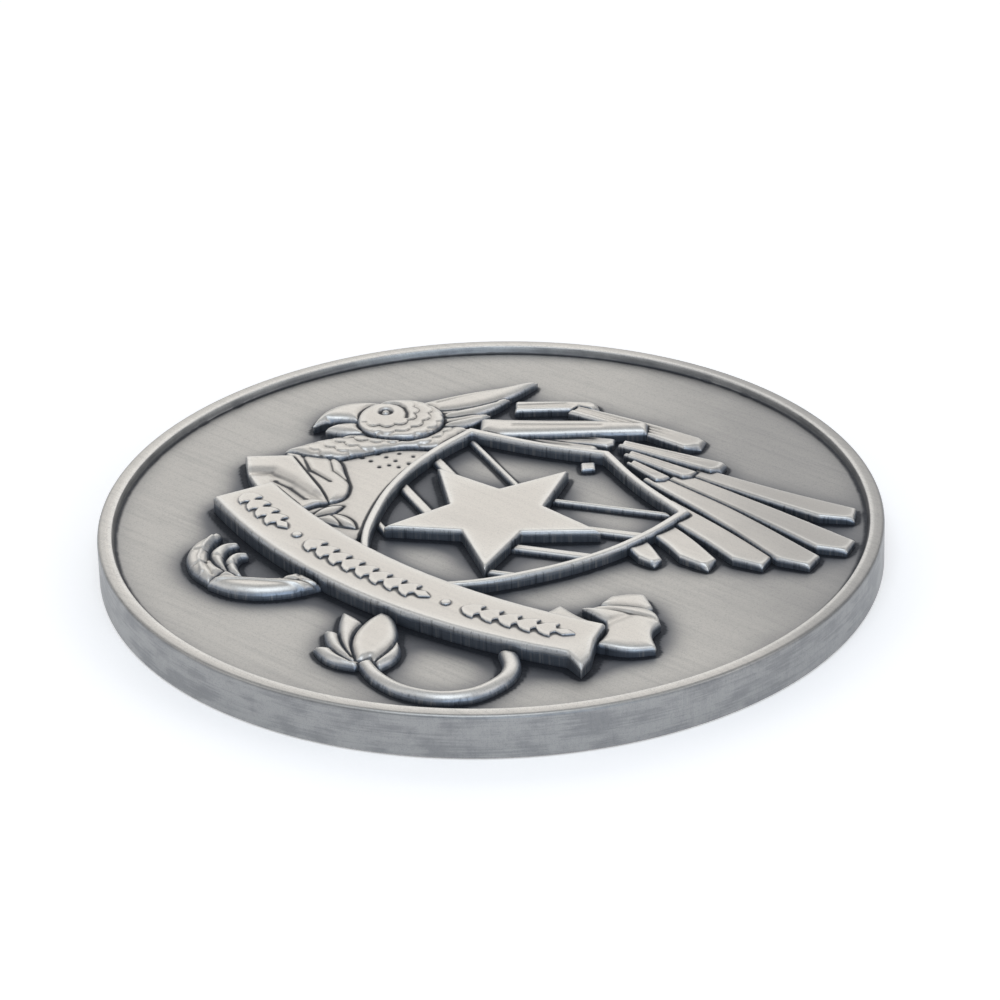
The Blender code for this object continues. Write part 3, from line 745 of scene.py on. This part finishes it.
def antiqueSilver(name, bright, mid, wallShadeAndPatina, fieldHalo, brush, sideLines=False):
    # bright: polished tops; mid: open surfaces; the wall colour goes on steep sides as painted shade,
    # partly patina, and its blue is a painted reflection
    # fieldHalo: how strongly wide hollows darken; brush: how clearly the polishing strokes show
    s = silver
    f = Finish(name)
    near = f.stored("near")
    wide = f.stored("wide")
    blotch = f.noise(**patterns["blotch"])
    fine = f.noise(**patterns["fine"])
    strokes = f.noise(**patterns["strokes"])
    hair = f.noise(**patterns["hair"])
    grit = f.noise(**patterns["grit"])
    normal = f.node("NewGeometry", output=1)
    upward = f.node("SeparateXYZ", {}, {0: normal}, 2)
    upward = f.node("Math", {"operation": "ABSOLUTE"}, {0: upward})
    steep = f.ramp(upward, *s["steep"])

    # hollows and tops, with their limits broken up by the blotches
    uneven = blotch - 0.5
    sandy = fine - 0.5
    shade = near + wide * s["wideShare"] + uneven * s["blotchOnHollow"] + sandy * s["fineOnHollow"]
    dark = f.ramp(shade, *s["hollow"])
    halo = f.ramp(wide + uneven * s["blotchOnHalo"], *s["halo"]) * fieldHalo
    worn = f.ramp(shade * -1.0, *s["worn"])
    rubbed = f.ramp(near * -1.0, *s["rubbed"])
    grain = (strokes - 0.5) * s["strokesOnGrain"] + (hair - 0.5) * s["hairOnGrain"]
    grain = (grain + uneven * s["blotchOnGrain"]) * brush
    # painted shade: the coin is darkened towards one side, standing in for the dimmer light there
    side = f.node("VectorMath", {"operation": "DOT_PRODUCT"}, {0: f.place(), 1: s["paintedShadeWay"]}, 1)
    paintedShade = f.ramp(side + uneven * s["blotchOnPaintedShade"], *s["paintedShade"]) * s["paintedShadeShare"]

    colour = f.mix(worn, mid, bright)
    # painted shade on the coin's darker side
    colour = f.mix(paintedShade, colour, s["dullAndShadeColour"])
    colour = f.mix(halo, colour, s["dullAndShadeColour"])
    # painted shade: steep walls take a darker colour than the tops, partly patina on the relief, with a
    # bluish painted reflection
    colour = f.mix(steep * s["wallShadeShare"], colour, wallShadeAndPatina)
    colour = f.mix(dark * (s["hollowShare"] - steep * s["wallRelief"]), colour, s["patinaColour"])
    colour = f.mix(rubbed * s["rubbedShare"], colour, s["rubbedColour"])
    colour = f.mix(f.ramp(grain, *s["streak"]) * s["streakShare"], colour, s["dullAndShadeColour"])
    plain, brushed = s["gritShare"]
    grit = f.ramp(grit + fine * s["fineOnGrit"], *s["grit"]) * (plain + brushed * brush)
    colour = f.mix(grit, colour, s["dullAndShadeColour"])
    if sideLines:
        lines = f.noise(**patterns["sideLines"])
        patches = f.noise(**patterns["sidePatches"])
        lined = f.ramp(lines * s["linesOnPatches"] + patches, *s["sideLine"]) * steep
        colour = f.mix(lined * s["sideLineShare"], colour, s["dullAndShadeColour"])
    else:
        lines = f.noise(**patterns["wallStreaks"])
        pale = f.ramp(lines, *s["lightStreak"]) * steep
        colour = f.mix(pale * s["lightStreakShare"], colour, mid)
        black = f.ramp(lines, *s["darkStreak"]) * steep
        colour = f.mix(black * s["darkStreakShare"], colour, s["patinaColour"])

    rough = s["roughness"] + dark * s["hollowRoughness"]
    rough = rough + sandy * s["fineRoughness"] + halo * s["haloRoughness"]
    bumpHeight = grain * s["grainHeight"] + fine * s["fineHeight"] + lines * steep * s["lineHeight"]
    bump = f.node("Bump", {}, {"Strength": s["bumpStrength"], "Distance": mm, "Height": bumpHeight})
    values = {"Base Color": colour, "Roughness": rough, "Metallic": 1.0, "Normal": bump}
    finishOff(f, f.node("BsdfPrincipled", {}, values))
    return f.material


def finishOff(f, shader):
    out = f.tree.nodes.new("ShaderNodeOutputMaterial")
    f.tree.links.new(shader.socket, out.inputs[0])


bodyPiece = makeCoinBody()
print("coin body:", len(bodyPiece.data.polygons), "faces")
standsIn(bodyPiece, "coin_body")

reliefPieces = [refine(name) for name in sorted(cadNodes) if name != "coin_body"]
print("relief:", len(reliefPieces), "pieces,", sum(len(t.data.polygons) for t in reliefPieces), "faces")

writePatina([bodyPiece] + reliefPieces)
print("patina written")

fieldLook = {
    "bright": (0.68, 0.66, 0.625, 1),
    "mid": (0.52, 0.508, 0.485, 1),
    # painted shade: the coin's side and inner rim wall darker than its tops
    "wallShadeAndPatina": (0.34, 0.345, 0.35, 1),
    "fieldHalo": 0.95,
    "brush": 0.75,
    "sideLines": True,
}
reliefLook = {
    "bright": (0.78, 0.755, 0.71, 1),
    "mid": (0.71, 0.68, 0.635, 1),
    # painted reflection and shade: the walls' dark blue stands in for the blue light they reflect, partly
    # patina
    "wallShadeAndPatina": (0.33, 0.39, 0.48, 1),
    "fieldHalo": 0.3,
    "brush": 0.3,
}
reverseLook = {
    "bright": (0.5, 0.49, 0.47, 1),
    "mid": (0.42, 0.415, 0.4, 1),
    # painted shade: the reverse wreaths' walls darker than their tops
    "wallShadeAndPatina": (0.2, 0.2, 0.205, 1),
    "fieldHalo": 0.5,
    "brush": 0.6,
}
finishes = {
    "field": antiqueSilver("antique_silver", **fieldLook),
    "relief": antiqueSilver("relief_silver", **reliefLook),
    "reverse": antiqueSilver("dark_silver", **reverseLook),
}
print("finishes made:", len(finishes))

bodyPiece.data.materials.append(finishes["field"])
for piece in reliefPieces:
    node = piece.name[:-len("_struck")]
    isReverse = node.startswith("reverse")
    piece.data.materials.append(finishes["reverse" if isReverse else "relief"])
    standsIn(piece, node)

# back to metres
for piece in [bodyPiece] + reliefPieces:
    piece.data.transform(Matrix.Scale(mm, 4))
    selectOnly(piece)
    bpy.ops.object.shade_smooth()
    piece.data.update()


studio = {
    "floorSize": 3.0,
    "floorHeight": -0.00001,             # a hair below, so that the two faces don't fight
    "floorGlow": 0.4,
    "floorRoughness": 0.9,
    "floorColour": (0.91, 0.91, 0.915, 1),
    "world": (0.62, 0.63, 0.65, 1),
    "worldStrength": 0.6,
}

# azimuth is measured from the camera's own, elevation above the floor; sizes in metres
lamps = {
    "backBox": {
        "azimuth": 180, "elevation": 34, "distance": 0.8,
        "size": (1.3, 0.55), "power": 2.0, "colour": (1.0, 0.975, 0.94),
    },
    "frontBox": {
        "azimuth": -8, "elevation": 64, "distance": 0.8,
        "size": (0.5, 0.4), "power": 1.5, "colour": (0.82, 0.91, 1.0),
    },
    "lowBox": {
        "azimuth": 12, "elevation": 14, "distance": 0.8,
        "size": (0.6, 0.25), "power": 0.9, "colour": (0.66, 0.82, 1.0),
    },
    "leftBox": {
        "azimuth": -80, "elevation": 30, "distance": 0.8,
        "size": (0.3, 0.5), "power": 0.45, "colour": (1.0, 0.98, 0.95),
    },
    "rightBox": {
        "azimuth": 75, "elevation": 30, "distance": 0.8,
        "size": (0.3, 0.5), "power": 0.6, "colour": (0.97, 0.98, 1.0),
    },
}

# distance is in coin radii, the angles in degrees
viewpoint = {
    "azimuth": 42,
    "elevation": 28.865,
    "distance": 12.775,
    "lens": 180,
    "nearest": 0.01,
    "pan": -0.114,
    "tilt": 0.651,
    "roll": 1.671,
}


def directionAt(azimuth, elevation):
    a, e = math.radians(azimuth), math.radians(elevation)
    return Vector((math.sin(a) * math.cos(e), -math.cos(a) * math.cos(e), math.sin(e)))


def makeCamera():
    s = viewpoint
    data = bpy.data.cameras.new("camera")
    data.lens = s["lens"]
    data.clip_start = s["nearest"]
    camera = bpy.data.objects.new("camera", data)
    bpy.context.scene.collection.objects.link(camera)
    turn = Matrix.Rotation(math.radians(s["azimuth"]), 4, "Z")
    turn @= Matrix.Rotation(math.radians(90 - s["elevation"]), 4, "X")
    turn @= Matrix.Rotation(math.radians(s["pan"]), 4, "Y")
    turn @= Matrix.Rotation(math.radians(s["tilt"]), 4, "X")
    turn @= Matrix.Rotation(math.radians(-s["roll"]), 4, "Z")
    place = directionAt(s["azimuth"], s["elevation"]) * s["distance"] * coinRadius * mm
    camera.matrix_world = Matrix.Translation(place) @ turn
    bpy.context.scene.camera = camera


def makeFloor():
    bpy.ops.object.select_all(action="DESELECT")
    bpy.ops.mesh.primitive_plane_add(size=studio["floorSize"], location=(0, 0, studio["floorHeight"]))
    floor = bpy.context.object
    floor.name = "floor"
    f = Finish("pale_floor")
    values = {
        "Base Color": studio["floorColour"],
        "Roughness": studio["floorRoughness"],
        "Specular IOR Level": 0.0,
        "Emission Color": studio["floorColour"],
        "Emission Strength": studio["floorGlow"],
    }
    finishOff(f, f.node("BsdfPrincipled", {}, values))
    floor.data.materials.append(f.material)


def makeLamps():
    for name, s in lamps.items():
        data = bpy.data.lights.new(name, "AREA")
        data.shape = "RECTANGLE"
        data.size, data.size_y = s["size"]
        data.energy = s["power"]
        data.color = s["colour"]
        lamp = bpy.data.objects.new(name, data)
        bpy.context.scene.collection.objects.link(lamp)
        way = directionAt(viewpoint["azimuth"] + s["azimuth"], s["elevation"])
        lamp.location = way * s["distance"]
        lamp.rotation_euler = way.to_track_quat("Z", "Y").to_euler()
    world = bpy.data.worlds.new("studio")
    bpy.context.scene.world = world
    world.use_nodes = True
    backdrop = world.node_tree.nodes["Background"]
    backdrop.inputs[0].default_value = studio["world"]
    backdrop.inputs[1].default_value = studio["worldStrength"]


makeFloor()
makeLamps()
makeCamera()
print("studio ready")
